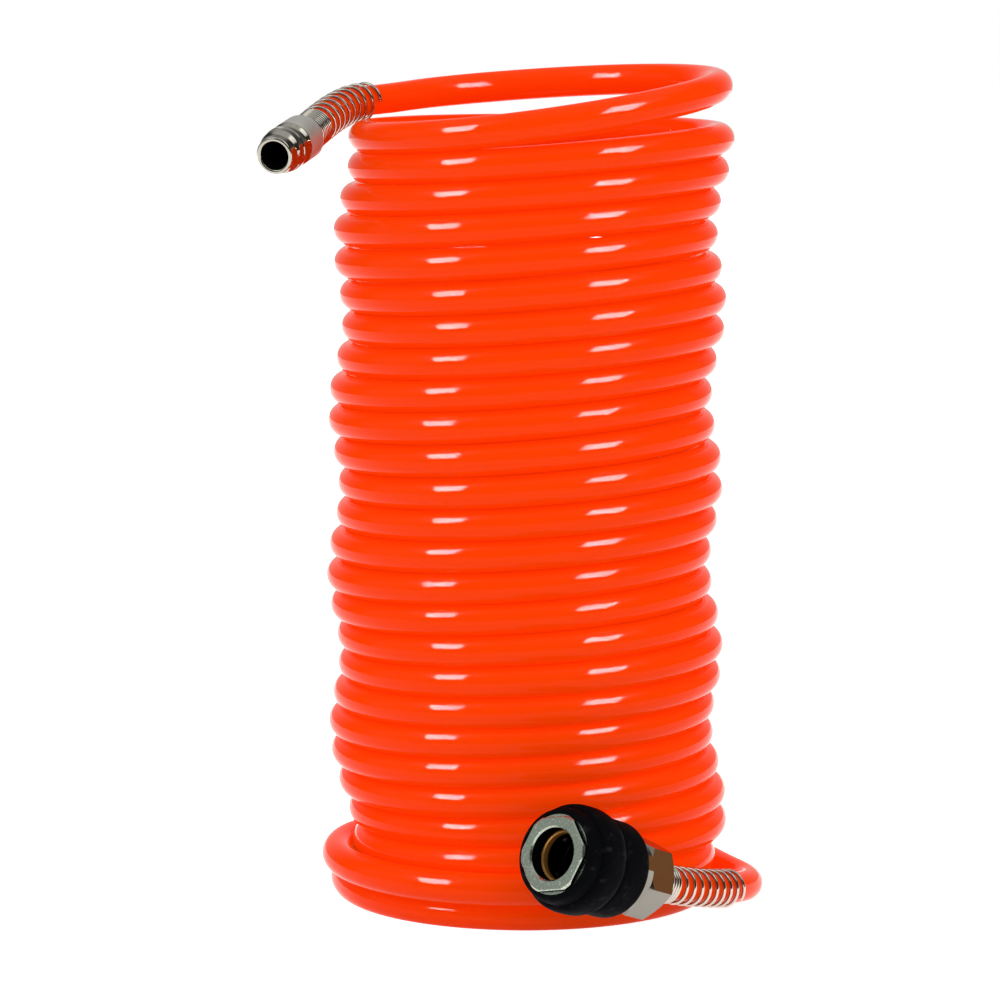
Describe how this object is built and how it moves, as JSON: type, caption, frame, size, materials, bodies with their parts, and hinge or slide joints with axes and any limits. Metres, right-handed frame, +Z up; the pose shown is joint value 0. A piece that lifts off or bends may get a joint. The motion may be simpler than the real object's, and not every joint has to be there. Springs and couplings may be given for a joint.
{
  "type": "coiled air hose",
  "caption": "Coiled plastic air hose standing on end, with a quick coupler and a plug, each with a spring guard.",
  "frame": {"origin": "middle of the space the whole object takes, on the surface it stands on", "axes": "+Z up along the coil; -Y is the front, where the coupler's mouth and the plug's nose point; +X to the right seen from the front"},
  "size_m": [0.1344, 0.1506, 0.2233],
  "materials": {
    "tube": "gloss",
    "nickel": "satin",
    "spring_wire": "gloss",
    "brass": "satin",
    "cover_rubber": "matte",
    "seal_rubber": "matte"
  },
  "bodies": {
    "hose": {"hose_coil": "tube", "hose_plug_lead": "tube", "hose_coupler_lead": "tube", "plug_nipple": "nickel", "plug_spring_guard": "spring_wire", "coupler_spring_guard": "spring_wire", "mouth_nut": "nickel", "socket_body": "brass", "tail_body": "nickel", "hose_stem": "brass", "stem_gasket": "seal_rubber", "nose_seal": "seal_rubber", "valve_spring": "spring_wire", "spring_plate": "brass", "sleeve_spring": "spring_wire"},
    "sleeve": {"sleeve_core": "nickel", "sleeve_cover": "cover_rubber"},
    "valve": {"valve_poppet": "brass", "valve_seal": "seal_rubber"},
    "ball_1": {"lock_ball_1": "spring_wire"},
    "ball_2": {"lock_ball_2": "spring_wire"},
    "ball_3": {"lock_ball_3": "spring_wire"},
    "ball_4": {"lock_ball_4": "spring_wire"}
  },
  "joints": [
    {"name": "sleeve_slide", "type": "slide", "parent": "hose", "child": "sleeve", "axis": [0.6203, 0.7136, -0.3256], "range_m": [0, 0.004], "stiffness_N_per_m": 1500, "springref_m": -0.004, "deforming": ["sleeve_spring"]},
    {"name": "valve_open", "type": "slide", "parent": "hose", "child": "valve", "axis": [0.6203, 0.7136, -0.3256], "range_m": [0, 0.003], "stiffness_N_per_m": 1000, "springref_m": -0.003, "deforming": ["valve_spring"]},
    {"name": "ball_1_lift", "type": "slide", "parent": "hose", "child": "ball_1", "axis": [-0.6847, 0.2902, -0.6686], "range_m": [0, 0.0008]},
    {"name": "ball_2_lift", "type": "slide", "parent": "hose", "child": "ball_2", "axis": [-0.3826, 0.6376, 0.6686], "range_m": [0, 0.0008]},
    {"name": "ball_3_lift", "type": "slide", "parent": "hose", "child": "ball_3", "axis": [0.6847, -0.2902, 0.6686], "range_m": [0, 0.0008]},
    {"name": "ball_4_lift", "type": "slide", "parent": "hose", "child": "ball_4", "axis": [0.3826, -0.6376, -0.6686], "range_m": [0, 0.0008]}
  ],
  "couplings": [
    {"joint": "ball_1_lift", "follows": "sleeve_slide", "ratio": 0.2},
    {"joint": "ball_2_lift", "follows": "sleeve_slide", "ratio": 0.2},
    {"joint": "ball_3_lift", "follows": "sleeve_slide", "ratio": 0.2},
    {"joint": "ball_4_lift", "follows": "sleeve_slide", "ratio": 0.2}
  ]
}
